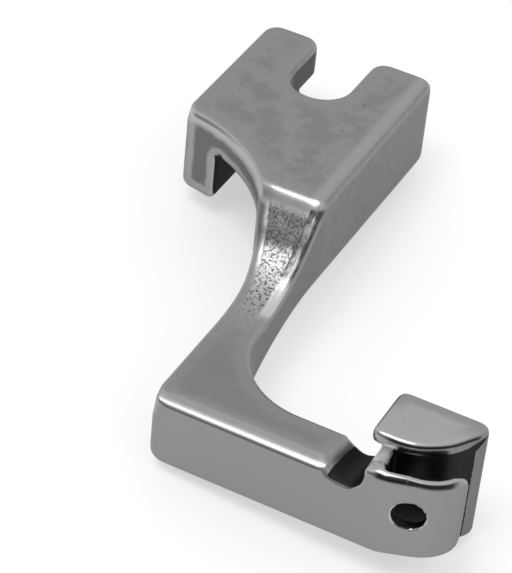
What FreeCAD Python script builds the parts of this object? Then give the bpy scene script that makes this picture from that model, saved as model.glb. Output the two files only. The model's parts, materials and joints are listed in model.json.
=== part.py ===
import math
import os
import re

import FreeCAD
import Part
import Sketcher

# Sewing machine presser foot, one solid piece of polished steel.
#
# Foot axes, in millimetres: X runs along the sole from the heel (0) to the toe,
# Y runs up the presser bar from the sole's underside (0), and Z runs across the foot.
# The finished body is turned at the end so that the foot lies on its side as it
# comes to rest, with the floor at zero height.

doc = FreeCAD.newDocument("presser_foot")
sheet = doc.addObject("Spreadsheet::Sheet", "Sizes")

SIZES = [
    # Sole bar
    ("bar_thickness", "3.2", "sole bar, underside to back edge"),
    ("bar_width", "5.4", "sole bar, across the foot"),
    # Shank block that clamps to the presser bar
    ("block_width", "12.7", "across the two legs"),
    ("block_lift", "3.62", "leg feet above the sole's lower side"),
    ("block_right", "2.96", "side of the block ahead of the heel"),
    ("block_end", "33.65", "free ends of the prongs above the sole"),
    # Neck between block and sole
    ("arch_margin", "0.8", "how much the neck's concave side is rounder than the block is wide"),
    ("arch_height", "10.7", "height of the arch centre"),
    ("crook_radius", "5.5", "inside corner between neck and bar"),
    ("saddle_rise", "4.76", "upper side of the bar to the face under the screw head"),
    ("saddle_radius", "9.6", "concave upper side of the neck"),
    ("saddle_start", "8.3", "where the upper side leaves the bar"),
    ("belly_radius", "14.5", "convex lower side of the neck"),
    ("belly_end", "16.5", "where the lower side meets the legs"),
    # Groove for the presser bar and slot for its screw
    ("groove_width", "7.1", "groove for the presser bar"),
    ("groove_depth", "4.0", "leg feet to the groove's roof"),
    ("groove_front", "16.3", "front end of the groove"),
    ("groove_corner", "1.0", "radius at the groove's front end"),
    ("slot_width", "4.18", "slot for the clamp screw"),
    ("slot_offset", "0.2", "slot from the block's middle, towards the left leg"),
    ("slot_depth", "6.35", "prong ends to the slot's bottom"),
    # Toe: sole plate
    ("toe_width", "6.2", "sole plate, across the foot"),
    ("plate_thickness", "0.85", "sole plate"),
    ("kink_start", "15.43", "where the underside starts to rise"),
    ("kink_radius", "1.5", "bend of the underside there"),
    ("ramp_length", "2.0", "straight rise before the turned-up tip"),
    ("ramp_angle", "17", "degrees"),
    ("tip_radius", "3.05", "turned-up tip, outer side"),
    ("tip_sweep", "83", "degrees from level to the end of the tip"),
    ("tip_corner", "1.0", "corners of the tip"),
    ("tip_taper", "3", "degrees, narrowing of the tip on each side"),
    # Toe: upper plate and its cap
    ("web_start", "14.2", "side of the web that joins the plates"),
    ("web_end", "15.3", "closed end of the fabric slot"),
    ("web_rake", "0.35", "how far that end leans back at the slot's roof"),
    ("roof_height", "2.62", "roof of the fabric slot above the sole"),
    ("roof_radius", "3.3", "curve of the slot's roof"),
    ("roof_start", "15.78", "where the roof starts to curve"),
    ("roof_sweep", "58", "degrees"),
    ("upper_back", "6.65", "back of the upper plate above the sole"),
    ("upper_nose", "0.7", "plan radius at the toe end of the upper plate"),
    ("cap_rise", "1.15", "top of the cap above the sole plate"),
    ("upper_drop", "1.22", "upper plate below the sole plate's lower side"),
    ("cap_reach", "0.72", "cap beyond the web, towards the heel"),
    ("cap_corner", "0.6", "plan radius of the cap's corners"),
    # Side notch and needle hole
    ("notch_radius", "1.15", "round floor of the side notch"),
    ("notch_depth", "1.1", "notch floor below the bar's upper side, in front"),
    ("notch_back_radius", "0.85", "round floor of the notch at the back of the bar"),
    ("notch_back_depth", "0.8", "notch floor below the bar's upper side, at the back"),
    ("notch_slope", "38", "degrees, heel side of the notch"),
    ("hole_radius", "0.98", "needle hole"),
    ("hole_height", "3.5", "needle hole above the sole's lower side"),
    ("hole_setback", "2.69", "needle hole back from the tip"),
    # Rounded edges
    ("prong_corner", "1.1", "corners of the prongs, seen from the screw side"),
    ("leg_corner", "0.8", "left leg where it meets the arch"),
    ("leg_round", "0.75", "feet of the legs"),
    ("heel_corner", "1.0", "lower corner of the heel"),
    ("block_round", "0.45", "edges round the face under the screw head"),
    ("bar_round", "0.35", "upper edges of the bar and the neck"),
    ("groove_round", "0.4", "roof of the groove where it opens at the arch"),
    ("mouth_round", "0.25", "lower rim of the screw slot"),
    ("cap_round", "0.4", "upper edges of the cap, lower edges of the plate below it"),
    ("cap_low_round", "0.3", "lower edges of the cap's overhang"),
]

DERIVED = [
    ("block_left", "=block_right - block_width"),
    ("block_middle", "=block_right - block_width / 2"),
    ("block_top", "=bar_width + saddle_rise"),
    ("arch_radius", "=arch_margin - block_left"),
    ("arch_top", "=arch_height + sqrt(arch_radius^2 - (block_left + arch_radius)^2)"),
    ("arch_centre", "=-arch_radius"),
    ("crook_x", "=block_right + crook_radius"),
    ("crook_y", "=bar_thickness + crook_radius"),
    ("saddle_end", "=saddle_start + sqrt(saddle_radius^2 - (saddle_radius - saddle_rise)^2)"),
    ("belly_start", "=belly_end - sqrt(belly_radius^2 - (belly_radius - block_lift)^2)"),
    ("groove_left", "=block_middle - groove_width / 2"),
    ("groove_right", "=block_middle + groove_width / 2"),
    ("groove_roof", "=block_lift + groove_depth"),
    ("slot_left", "=block_middle - slot_offset - slot_width / 2"),
    ("slot_right", "=block_middle - slot_offset + slot_width / 2"),
    ("slot_bottom", "=block_end - slot_depth"),
    ("slot_centre", "=slot_bottom + slot_width / 2"),
    ("kink_x", "=kink_start + kink_radius * sin(ramp_angle * 1deg)"),
    ("kink_y", "=kink_radius * (1 - cos(ramp_angle * 1deg))"),
    ("ramp_x", "=kink_x + ramp_length * cos(ramp_angle * 1deg)"),
    ("ramp_y", "=kink_y + ramp_length * sin(ramp_angle * 1deg)"),
    ("rise_x", "=plate_thickness * sin(ramp_angle * 1deg)"),
    ("rise_y", "=plate_thickness * cos(ramp_angle * 1deg)"),
    ("tip_x", "=ramp_x - tip_radius * sin(ramp_angle * 1deg)"),
    ("tip_y", "=ramp_y + tip_radius * cos(ramp_angle * 1deg)"),
    ("tip_inner", "=tip_radius - plate_thickness"),
    ("tip_out_x", "=tip_x + tip_radius * sin(tip_sweep * 1deg)"),
    ("tip_out_y", "=tip_y - tip_radius * cos(tip_sweep * 1deg)"),
    ("tip_in_x", "=tip_x + tip_inner * sin(tip_sweep * 1deg)"),
    ("tip_in_y", "=tip_y - tip_inner * cos(tip_sweep * 1deg)"),
    ("tip_narrow", "=(tip_out_x + 1 - web_end) * tan(tip_taper * 1deg)"),
    ("hole_x", "=tip_out_x - hole_setback"),
    ("roof_x", "=roof_start + roof_radius * sin(roof_sweep * 1deg)"),
    ("roof_y", "=roof_height + roof_radius * (1 - cos(roof_sweep * 1deg))"),
    ("nose_y", "=upper_back - upper_nose"),
    ("nose_run", "=(nose_y - roof_y - upper_nose * cos(roof_sweep * 1deg)) / sin(roof_sweep * 1deg)"),
    ("nose_x", "=roof_x - upper_nose * sin(roof_sweep * 1deg) + nose_run * cos(roof_sweep * 1deg)"),
    ("nose_low_x", "=nose_x + upper_nose * sin(roof_sweep * 1deg)"),
    ("nose_low_y", "=nose_y - upper_nose * cos(roof_sweep * 1deg)"),
    ("cap_start", "=web_start - cap_reach"),
    ("cap_top", "=toe_width + cap_rise"),
    ("notch_x", "=web_start - notch_radius"),
    ("notch_z", "=bar_width - notch_depth + notch_radius"),
    ("slope_x", "=notch_x - notch_radius * sin(notch_slope * 1deg)"),
    ("slope_z", "=notch_z - notch_radius * cos(notch_slope * 1deg)"),
    ("slope_top", "=slope_x - (bar_width - slope_z) / tan(notch_slope * 1deg)"),
    ("back_x", "=web_start - notch_back_radius"),
    ("back_z", "=bar_width - notch_back_depth + notch_back_radius"),
    ("back_slope_x", "=back_x - notch_back_radius * sin(notch_slope * 1deg)"),
    ("back_slope_z", "=back_z - notch_back_radius * cos(notch_slope * 1deg)"),
    ("back_slope_top", "=back_slope_x - (bar_width - back_slope_z) / tan(notch_slope * 1deg)"),
]

for row, (alias, value, note) in enumerate(SIZES, start=1):
    sheet.set("A%d" % row, alias)
    sheet.set("B%d" % row, value)
    sheet.set("C%d" % row, note)
    sheet.setAlias("B%d" % row, alias)
for row, (alias, formula) in enumerate(DERIVED, start=len(SIZES) + 1):
    sheet.set("A%d" % row, alias)
    sheet.set("B%d" % row, formula)
    sheet.setAlias("B%d" % row, alias)
doc.recompute()


Y_AXIS, Z_AXIS = FreeCAD.Vector(0, 1, 0), FreeCAD.Vector(0, 0, 1)


def value(text):
    """Work out an expression of size names as a plain number."""
    return float(sheet.evalExpression(text))


def on_sheet(text):
    """Write an expression of size names so that it reads them from the sheet."""
    names = {alias for alias, *_ in SIZES + DERIVED}
    return re.sub(r"[a-z_]+", lambda m: "Sizes." + m[0] if m[0] in names else m[0], text)


def new_sketch(name, role, offset=None):
    """Start a sketch on one of the body's own planes, lifted off it by an expression."""
    plane = next(f for f in body.Origin.OriginFeatures if f.Role == role)
    sketch = body.newObject("Sketcher::SketchObject", name)
    sketch.AttachmentSupport = [(plane, "")]
    sketch.MapMode = "FlatFace"
    if offset is not None:
        sketch.setExpression("AttachmentOffset.Base.z", on_sheet(offset))
    return sketch


def place(sketch, kind, axis, edge, end, text):
    """Fix one coordinate of an edge's end, on the sketch axis when it is zero."""
    if text == "0":
        sketch.addConstraint(Sketcher.Constraint("PointOnObject", edge, end, axis))
        return
    index = sketch.addConstraint(Sketcher.Constraint(kind, edge, end, value(text)))
    sketch.setExpression("Constraints[%d]" % index, on_sheet(text))


def outline(sketch, corners):
    """Draw a closed outline through corners (x, y, bend).

    Each coordinate is an expression of sizes. A bend of None is a straight side to the
    next corner; (radius, turn) is an arc that turns left (1) or right (-1).
    """
    points = [
        FreeCAD.Vector(*(value(c) for c in corner[:2]), 0)
        for corner in corners
    ]
    edges = []
    for here, there, (x, y, bend) in zip(points, points[1:] + points[:1], corners):
        if bend is None:
            edges.append((sketch.addGeometry(Part.LineSegment(here, there), False), 1, 2))
            continue
        radius, turn = bend
        size = value(radius)
        chord = there - here
        side = FreeCAD.Vector(-chord.y, chord.x, 0).normalize() * turn
        centre = here + chord * 0.5 + side * math.sqrt(size**2 - (chord.Length / 2) ** 2)
        first, last = (here, there) if turn == 1 else (there, here)
        angles = [math.atan2(p.y - centre.y, p.x - centre.x) for p in (first, last)]
        circle = Part.Circle(centre, Z_AXIS, size)
        edge = sketch.addGeometry(Part.ArcOfCircle(circle, *angles), False)
        index = sketch.addConstraint(Sketcher.Constraint("Radius", edge, size))
        sketch.setExpression("Constraints[%d]" % index, on_sheet(radius))
        edges.append((edge, 1, 2) if turn == 1 else (edge, 2, 1))
    for (edge, start, _), (before, _, end), (x, y, _) in zip(edges, edges[-1:] + edges, corners):
        sketch.addConstraint(Sketcher.Constraint("Coincident", before, end, edge, start))
        place(sketch, "DistanceX", -2, edge, start, x)
        place(sketch, "DistanceY", -1, edge, start, y)


def pad(name, sketch, length):
    """Add the sketch's outline as material, up to a length along its normal."""
    feature = body.newObject("PartDesign::Pad", name)
    feature.Profile = sketch
    feature.setExpression("Length", on_sheet(length))
    doc.recompute()
    return feature


def pocket(name, sketch, length=None):
    """Cut the sketch's outline away, right through or to a length along its normal."""
    feature = body.newObject("PartDesign::Pocket", name)
    feature.Profile = sketch
    if length is None:
        feature.Type = "ThroughAll"
        feature.Midplane = True
    else:
        feature.Reversed = True
        feature.setExpression("Length", on_sheet(length))
    doc.recompute()
    return feature


body = doc.addObject("PartDesign::Body", "presser_foot")

# Plan of the sole bar, the neck and the shank block
plan = new_sketch("plan", "XY_Plane")
outline(plan, [
    ("0", "0", None),
    ("web_end", "0", None),
    ("web_end", "plate_thickness", None),
    ("web_end - web_rake", "bar_thickness", None),
    ("crook_x", "bar_thickness", ("crook_radius", -1)),
    ("block_right", "crook_y", None),
    ("block_right", "block_end", None),
    ("block_left", "block_end", None),
    ("block_left", "arch_top", ("arch_radius", -1)),
    ("0", "arch_height", None),
])
pad("foot", plan, "block_top")

# Upper side: bar, saddle of the neck, step up to the block
upper_side = new_sketch("upper_side", "YZ_Plane")
outline(upper_side, [
    ("-1", "bar_width", None),
    ("saddle_start", "bar_width", ("saddle_radius", 1)),
    ("saddle_end", "block_top", None),
    ("saddle_end", "block_top + 1", None),
    ("-1", "block_top + 1", None),
])
pocket("saddle", upper_side)

# Lower side: belly of the neck, then the feet of the legs
lower_side = new_sketch("lower_side", "YZ_Plane")
outline(lower_side, [
    ("belly_start", "0", ("belly_radius", -1)),
    ("belly_end", "block_lift", None),
    ("block_end + 1", "block_lift", None),
    ("block_end + 1", "-1", None),
    ("belly_start", "-1", None),
])
pocket("belly", lower_side)

# Groove for the presser bar, open at the arch and at the prong ends
groove = new_sketch("groove", "XY_Plane")
outline(groove, [
    ("groove_left", "groove_front", None),
    ("groove_right - groove_corner", "groove_front", ("groove_corner", 1)),
    ("groove_right", "groove_front + groove_corner", None),
    ("groove_right", "block_end + 1", None),
    ("groove_left", "block_end + 1", None),
])
pocket("bar_groove", groove, "groove_roof")

# Slot between the prongs for the clamp screw
slot = new_sketch("slot", "XY_Plane")
outline(slot, [
    ("slot_left", "slot_centre", ("slot_width / 2", 1)),
    ("block_middle", "slot_bottom", ("slot_width / 2", 1)),
    ("slot_right", "slot_centre", None),
    ("slot_right", "block_end + 1", None),
    ("slot_left", "block_end + 1", None),
])
pocket("screw_slot", slot)

# Sole plate, rising to a turned-up tip, with the root of the web
sole = new_sketch("sole", "XY_Plane")
outline(sole, [
    ("notch_x", "0", None),
    ("kink_start", "0", ("kink_radius", 1)),
    ("kink_x", "kink_y", None),
    ("ramp_x", "ramp_y", ("tip_radius", 1)),
    ("tip_out_x", "tip_out_y", None),
    ("tip_in_x", "tip_in_y", ("tip_inner", -1)),
    ("ramp_x - rise_x", "ramp_y + rise_y", None),
    ("kink_x - rise_x", "kink_y + rise_y", ("kink_radius - plate_thickness", -1)),
    ("kink_start", "plate_thickness", None),
    ("web_end", "plate_thickness", None),
    ("web_end - web_rake", "bar_thickness", None),
    ("notch_x", "bar_thickness", None),
])
pad("sole_plate", sole, "toe_width")

# Tip narrowed on both sides
sides = new_sketch("sides", "XZ_Plane")
outline(sides, [
    ("web_end", "0", None),
    ("tip_out_x + 1", "tip_narrow", None),
    ("tip_out_x + 1", "-1", None),
    ("web_end", "-1", None),
])
outline(sides, [
    ("web_end", "toe_width", None),
    ("web_end", "toe_width + 1", None),
    ("tip_out_x + 1", "toe_width + 1", None),
    ("tip_out_x + 1", "toe_width - tip_narrow", None),
])
pocket("tip_sides", sides)

# Side notch between the bar and the web, shallower towards the back
notch = new_sketch("notch", "XZ_Plane")
outline(notch, [
    ("slope_top", "bar_width", None),
    ("slope_x", "slope_z", ("notch_radius", 1)),
    ("web_start", "notch_z", None),
    ("web_start", "toe_width + 1", None),
    ("slope_top", "toe_width + 1", None),
])
notch_back = new_sketch("notch_back", "XZ_Plane", "-bar_thickness")
outline(notch_back, [
    ("back_slope_top", "bar_width", None),
    ("back_slope_x", "back_slope_z", ("notch_back_radius", 1)),
    ("web_start", "back_z", None),
    ("web_start", "toe_width + 1", None),
    ("back_slope_top", "toe_width + 1", None),
])
side_notch = body.newObject("PartDesign::SubtractiveLoft", "side_notch")
side_notch.Profile = notch
side_notch.Sections = [notch_back]
side_notch.Ruled = True
doc.recompute()

# Upper plate, its underside the roof of the fabric slot
ROOF = [
    ("roof_start", "roof_height", ("roof_radius", 1)),
    ("roof_x", "roof_y", None),
    ("nose_low_x", "nose_low_y", ("upper_nose", 1)),
    ("nose_x + upper_nose", "nose_y", ("upper_nose", 1)),
    ("nose_x", "upper_back", None),
]
upper = new_sketch("upper", "XY_Plane", "-upper_drop")
outline(upper, [("web_start", "roof_height", None), *ROOF, ("web_start", "upper_back", None)])
pad("upper_plate", upper, "cap_top + upper_drop")

# Cap over the upper plate, reaching past the web towards the heel
cap = new_sketch("cap", "XY_Plane", "toe_width")
outline(cap, [
    ("cap_start + cap_corner", "roof_height", None),
    *ROOF,
    ("cap_start + cap_corner", "upper_back", ("cap_corner", 1)),
    ("cap_start", "upper_back - cap_corner", None),
    ("cap_start", "roof_height + cap_corner", ("cap_corner", 1)),
])
pad("upper_cap", cap, "cap_rise")

# Needle hole through both plates
needle = new_sketch("needle", "XZ_Plane")
centre = FreeCAD.Vector(value("hole_x"), value("hole_height"), 0)
circle = needle.addGeometry(Part.Circle(centre, Z_AXIS, value("hole_radius")), False)
place(needle, "DistanceX", -2, circle, 3, "hole_x")
place(needle, "DistanceY", -1, circle, 3, "hole_height")
index = needle.addConstraint(Sketcher.Constraint("Radius", circle, value("hole_radius")))
needle.setExpression("Constraints[%d]" % index, on_sheet("hole_radius"))
pocket("needle_hole", needle)


def near(number, text, slack=0.01):
    """Tell whether a coordinate lies at an expression of sizes."""
    return abs(number - value(text)) < slack


def above(number, text, slack=0.01):
    """Tell whether a coordinate lies clearly beyond an expression of sizes."""
    return number > value(text) + slack


def below(number, text, slack=0.01):
    """Tell whether a coordinate lies clearly short of an expression of sizes."""
    return number < value(text) - slack


def along(edge, axis):
    """Tell whether an edge is a straight line along one axis."""
    return edge.Curve.TypeId == "Part::GeomLine" and abs(abs(edge.Curve.Direction.dot(axis)) - 1) < 1e-6


def level(edge, text):
    """Tell whether an edge lies flat at the height of an expression of sizes."""
    ends = (edge.FirstParameter, edge.LastParameter, (edge.FirstParameter + edge.LastParameter) / 2)
    return all(near(edge.valueAt(end).z, text) for end in ends)


def rounded(name, radius, wanted):
    """Round the edges of the body that a test of the edge and its middle point picks."""
    base = body.Tip
    names = []
    for number, edge in enumerate(base.Shape.Edges, start=1):
        if edge.Degenerated:
            continue
        middle = edge.valueAt((edge.FirstParameter + edge.LastParameter) / 2)
        if wanted(edge, middle):
            names.append("Edge%d" % number)
    feature = body.newObject("PartDesign::Fillet", name)
    feature.Base = (base, names)
    feature.setExpression("Radius", on_sheet(radius))
    doc.recompute()


# Rounded edges, the long chains first
rounded("tip_corners", "tip_corner", lambda e, m: near(
    math.hypot(m.x - (value("tip_out_x") + value("tip_in_x")) / 2,
               m.y - (value("tip_out_y") + value("tip_in_y")) / 2), "0"))
rounded("prong_corners", "prong_corner", lambda e, m: along(e, Z_AXIS) and near(m.y, "block_end")
        and any(near(m.x, x) for x in ("block_left", "slot_left", "slot_right", "block_right")))
rounded("leg_corners", "leg_corner", lambda e, m: along(e, Z_AXIS) and near(m.x, "block_left")
        and near(m.y, "arch_top"))
rounded("heel_corners", "heel_corner", lambda e, m: along(e, Y_AXIS) and near(m.x, "0")
        and near(m.z, "0"))
rounded("block_edges", "block_round", lambda e, m: level(e, "block_top"))
rounded("neck_edges", "bar_round", lambda e, m: above(m.y, "saddle_start")
        and below(m.y, "saddle_end") and above(m.z, "bar_width") and below(m.z, "block_top - block_round")
        and not along(e, Z_AXIS) and not level(e, "groove_roof"))
rounded("bar_edges", "bar_round", lambda e, m: level(e, "bar_width")
        and below(m.y, "saddle_start") and below(m.x, "slope_top"))
rounded("leg_feet", "leg_round", lambda e, m: level(e, "block_lift") and above(m.y, "belly_end"))
rounded("groove_edge", "groove_round", lambda e, m: level(e, "groove_roof")
        and near(math.hypot(m.x - value("arch_centre"), m.y - value("arch_height")), "arch_radius"))
rounded("slot_rim", "mouth_round", lambda e, m: level(e, "groove_roof") and above(m.y, "arch_top")
        and not any(near(m.x, x) for x in ("groove_left", "groove_right")))
rounded("cap_edges", "cap_round", lambda e, m: level(e, "cap_top"))
rounded("cap_low_edges", "cap_low_round", lambda e, m: level(e, "toe_width") and below(m.x, "web_start"))
rounded("upper_low_edges", "cap_round", lambda e, m: level(e, "-upper_drop"))

for obj in doc.Objects:
    if "Invalid" in obj.State or "Error" in obj.State:
        raise RuntimeError("%s is %s" % (obj.Name, obj.State))
    if obj.TypeId == "Sketcher::SketchObject" and not obj.FullyConstrained:
        raise RuntimeError("%s is not fully constrained" % obj.Name)
if body.Shape.isNull() or not body.Shape.isValid() or len(body.Shape.Solids) != 1:
    raise RuntimeError("the foot is not one valid solid")

# The foot comes to rest on its side, on the heel, the upper plate and the left leg
heel, plate, leg = (
    FreeCAD.Vector(*(value(text) for text in point))
    for point in (
        ("heel_corner", "belly_start", "0"),
        ("web_start + cap_round", "upper_back - cap_round", "-upper_drop"),
        ("block_left + leg_round", "block_end - leg_round", "block_lift"),
    )
)
up = (plate - heel).cross(leg - heel)
body.Placement = FreeCAD.Placement(FreeCAD.Vector(), FreeCAD.Rotation(up, Z_AXIS))
box = body.Shape.optimalBoundingBox(False, False)
body.Placement.Base = FreeCAD.Vector(-box.Center.x, -box.Center.y, -box.ZMin)
box = body.Shape.optimalBoundingBox(False, False)
print("volume %.1f mm3, box %s" % (body.Shape.Volume, box))

os.makedirs("parts", exist_ok=True)
body.Shape.exportStep("parts/presser_foot.step")
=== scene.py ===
"""A sewing machine presser foot of polished steel, lying on its side on a pale table."""

from __future__ import annotations

import json
import logging
import math
from dataclasses import dataclass, field
from enum import Enum
from functools import reduce
from operator import mul
from typing import Any

import bmesh
import bpy
from mathutils import Euler, Matrix, Vector

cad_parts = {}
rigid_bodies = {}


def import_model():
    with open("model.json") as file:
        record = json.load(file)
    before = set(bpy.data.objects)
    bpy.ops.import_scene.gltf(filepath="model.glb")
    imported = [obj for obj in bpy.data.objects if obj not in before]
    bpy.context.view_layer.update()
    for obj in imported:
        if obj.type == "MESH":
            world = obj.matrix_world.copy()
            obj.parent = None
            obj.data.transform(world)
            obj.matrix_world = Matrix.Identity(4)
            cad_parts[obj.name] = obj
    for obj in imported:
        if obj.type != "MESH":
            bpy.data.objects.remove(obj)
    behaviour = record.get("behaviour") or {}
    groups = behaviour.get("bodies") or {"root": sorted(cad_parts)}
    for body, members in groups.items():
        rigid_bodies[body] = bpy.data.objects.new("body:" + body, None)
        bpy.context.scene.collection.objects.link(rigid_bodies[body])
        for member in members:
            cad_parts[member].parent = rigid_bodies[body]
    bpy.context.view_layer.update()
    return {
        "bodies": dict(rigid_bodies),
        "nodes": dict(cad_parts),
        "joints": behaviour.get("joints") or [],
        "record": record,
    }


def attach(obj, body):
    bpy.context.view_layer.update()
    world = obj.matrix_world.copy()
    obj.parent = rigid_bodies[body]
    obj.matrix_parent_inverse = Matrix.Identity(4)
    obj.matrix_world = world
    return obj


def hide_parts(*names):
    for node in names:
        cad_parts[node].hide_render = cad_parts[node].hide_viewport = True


LOG = logging.getLogger("presser_foot")
MILLIMETRE = 0.001

# A pair goes from where a mask is 0 to where it is 1; a band is two bounds and how soft they are.
Pair = tuple[float, float]
Band = tuple[float, float, float]
Point = tuple[float, float]
Place = tuple[float, float, float]
Colour = tuple[float, float, float, float]


class Axis(Enum):
    """An axis, by its place in a vector."""

    X = 0
    Y = 1
    Z = 2


class Note(Enum):
    """What the skin's tree notes on each point for the finish to read."""

    RIM = "rim"
    INSET = "inset"
    UP = "up"
    SIDE = "side"


class Link:
    """A node's output that takes part in Python arithmetic; each operator adds a node."""

    def __init__(self, nodes: Nodes, socket: bpy.types.NodeSocket | None) -> None:
        """Keep the socket and the tree it belongs to.

        Args:
            nodes: The node maker of the tree.
            socket: The output socket, or None for a node that has none.
        """
        self.nodes = nodes
        self.socket = socket

    def _math(self, operation: str, *operands: Any) -> Link:
        """Add a Math node.

        Args:
            operation: The Math node's operation.
            operands: Its values or links, in order.

        Returns:
            The result.
        """
        values = dict(enumerate(operands))
        return self.nodes.add("ShaderNodeMath", {"operation": operation}, values)

    def __add__(self, other: Any) -> Link:
        """Sum."""
        return self._math("ADD", self, other)

    __radd__ = __add__

    def __sub__(self, other: Any) -> Link:
        """Difference."""
        return self._math("SUBTRACT", self, other)

    def __rsub__(self, other: Any) -> Link:
        """Difference, the other way round."""
        return self._math("SUBTRACT", other, self)

    def __mul__(self, other: Any) -> Link:
        """Product."""
        return self._math("MULTIPLY", self, other)

    __rmul__ = __mul__

    def __truediv__(self, other: Any) -> Link:
        """Quotient."""
        return self._math("DIVIDE", self, other)

    def __rtruediv__(self, other: Any) -> Link:
        """Quotient, the other way round."""
        return self._math("DIVIDE", other, self)

    def __abs__(self) -> Link:
        """Size without its sign."""
        return self._math("ABSOLUTE", self)

    def __pow__(self, other: Any) -> Link:
        """Power."""
        return self._math("POWER", self, other)

    def least(self, other: Any) -> Link:
        """The smaller of the two."""
        return self._math("MINIMUM", self, other)

    def most(self, other: Any) -> Link:
        """The larger of the two."""
        return self._math("MAXIMUM", self, other)

    def step(self, low: float, high: float) -> Link:
        """A smooth step.

        Args:
            low: Where the result is 0.
            high: Where the result is 1; it may be the smaller number.

        Returns:
            A mask between 0 and 1.
        """
        if high < low:
            return 1 - self.step(high, low)
        settings = {"interpolation_type": "SMOOTHSTEP"}
        values = {0: self, 1: low, 2: high, 3: 0.0, 4: 1.0}
        return self.nodes.add("ShaderNodeMapRange", settings, values)

    def band(self, low: float, high: float, soft: float) -> Link:
        """A mask that is 1 between two bounds.

        Args:
            low: The lower bound.
            high: The upper bound.
            soft: How far the mask takes to fade on each side.

        Returns:
            The mask.
        """
        return self.step(low - soft, low + soft) * self.step(high + soft, high - soft)

    def part(self, axis: Axis) -> Link:
        """One component of a vector."""
        return self.nodes.add("ShaderNodeSeparateXYZ", {}, {0: self}, axis.value)


class Nodes:
    """Makes the nodes of one tree."""

    def __init__(self, tree: bpy.types.NodeTree) -> None:
        """Start on a tree, which is emptied.

        Args:
            tree: The node tree.
        """
        self.tree = tree
        tree.nodes.clear()

    def add(self, kind: str, settings: dict[str, Any] | None = None,
            values: dict[Any, Any] | None = None, output: Any = 0) -> Link:
        """Add a node.

        Args:
            kind: The node's type.
            settings: Its properties, which are set first.
            values: Its inputs by name, identifier or place, as numbers or links.
            output: The output to hand back, by name or place.

        Returns:
            The chosen output.
        """
        node = self.tree.nodes.new(kind)
        for name, value in (settings or {}).items():
            setattr(node, name, value)
        for name, value in (values or {}).items():
            socket = self._find(node.inputs, name)
            if isinstance(value, Link):
                self.tree.links.new(value.socket, socket)
            else:
                socket.default_value = value
        return Link(self, self._find(node.outputs, output) if len(node.outputs) else None)

    @staticmethod
    def _find(sockets: Any, key: Any) -> bpy.types.NodeSocket:
        """Find a socket that is in use.

        Args:
            sockets: The node's inputs or outputs.
            key: Its place, name or identifier.

        Returns:
            The socket.
        """
        if isinstance(key, int):
            return [socket for socket in sockets if socket.enabled][key]
        return next(s for s in sockets if s.enabled and key in (s.name, s.identifier))

    def mix(self, factor: Any, first: Any, second: Any) -> Link:
        """Blend two colours.

        Args:
            factor: 0 for the first, 1 for the second.
            first: A colour.
            second: Another colour.

        Returns:
            The blended colour.
        """
        values = {"Factor": factor, "A": first, "B": second}
        return self.add("ShaderNodeMix", {"data_type": "RGBA"}, values, "Result")

    def blend(self, factor: Any, first: Any, second: Any) -> Link:
        """Blend two numbers.

        Args:
            factor: 0 for the first, 1 for the second.
            first: A number.
            second: Another number.

        Returns:
            The blended number.
        """
        values = {"Factor": factor, "A": first, "B": second}
        return self.add("ShaderNodeMix", {"data_type": "FLOAT"}, values, "Result")


@dataclass(frozen=True)
class Noise:
    """A noise between 0 and 1."""

    scale: float
    detail: float
    rough: float

    def on(self, nodes: Nodes, where: Link) -> Link:
        """Add the noise to a tree.

        Args:
            nodes: The node maker.
            where: The coordinates, in millimetres.

        Returns:
            The noise.
        """
        values = {"Vector": where, "Scale": self.scale, "Detail": self.detail,
                  "Roughness": self.rough}
        return nodes.add("ShaderNodeTexNoise", {"noise_dimensions": "3D"}, values, "Fac")


@dataclass(frozen=True)
class Lie:
    """How the foot lies on the table: its own axes run along the sole, up the bar and across."""

    turn: Place = (-6.0978, -4.8019, 0.2559)
    heel: Place = (-4.6412, -17.2694, 0.6554)

    def matrix(self) -> Matrix:
        """The foot's own millimetres to the table's."""
        angles = Euler([math.radians(angle) for angle in self.turn], "XYZ")
        return Matrix.Translation(self.heel) @ angles.to_matrix().to_4x4()

    def coordinates(self, nodes: Nodes) -> Link:
        """The foot's own coordinates in millimetres, for patterns that keep to its shape.

        Args:
            nodes: The material's node maker.

        Returns:
            The coordinates.
        """
        back = self.matrix().inverted()
        where = nodes.add("ShaderNodeTexCoord", output="Object")
        values = {
            "Vector": where,
            "Location": back.to_translation(),
            "Rotation": back.to_euler("XYZ"),
            "Scale": (1 / MILLIMETRE,) * 3,
        }
        return nodes.add("ShaderNodeMapping", {"vector_type": "POINT"}, values)


@dataclass(frozen=True)
class Layout:
    """Where the foot's features are, in its own millimetres."""

    bar_width: float = 5.4
    bar_thickness: float = 3.2
    toe_width: float = 6.2
    arch_radius: float = 10.54
    arch_height: float = 10.7
    block_top: float = 10.16
    saddle_start: float = 8.3
    saddle_radius: float = 9.6
    groove_left: float = -6.94
    groove_right: float = 0.16
    groove_front: float = 16.3
    groove_roof: float = 7.62
    leg_front: float = 20.6
    block_front: float = 17.05
    slot_left: float = -5.68
    slot_right: float = -1.5
    slot_bottom: float = 27.3
    heel: Point = (0.0, 0.0)
    notch_left: float = 11.99
    notch_front: float = 12.0
    web_start: float = 14.2
    web_end: float = 15.3
    plate_thickness: float = 0.85
    tip_centre: Point = (16.889, 3.567)
    hole_centre: Point = (17.227, 3.5)
    hole_radius: float = 0.98
    lip: float = 6.55
    nose_start: float = 5.12
    ramp_end: Point = (17.781, 0.65)
    ramp_angle: float = 17.0
    tip_radius: float = 3.05
    tip_top: float = 3.6


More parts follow.
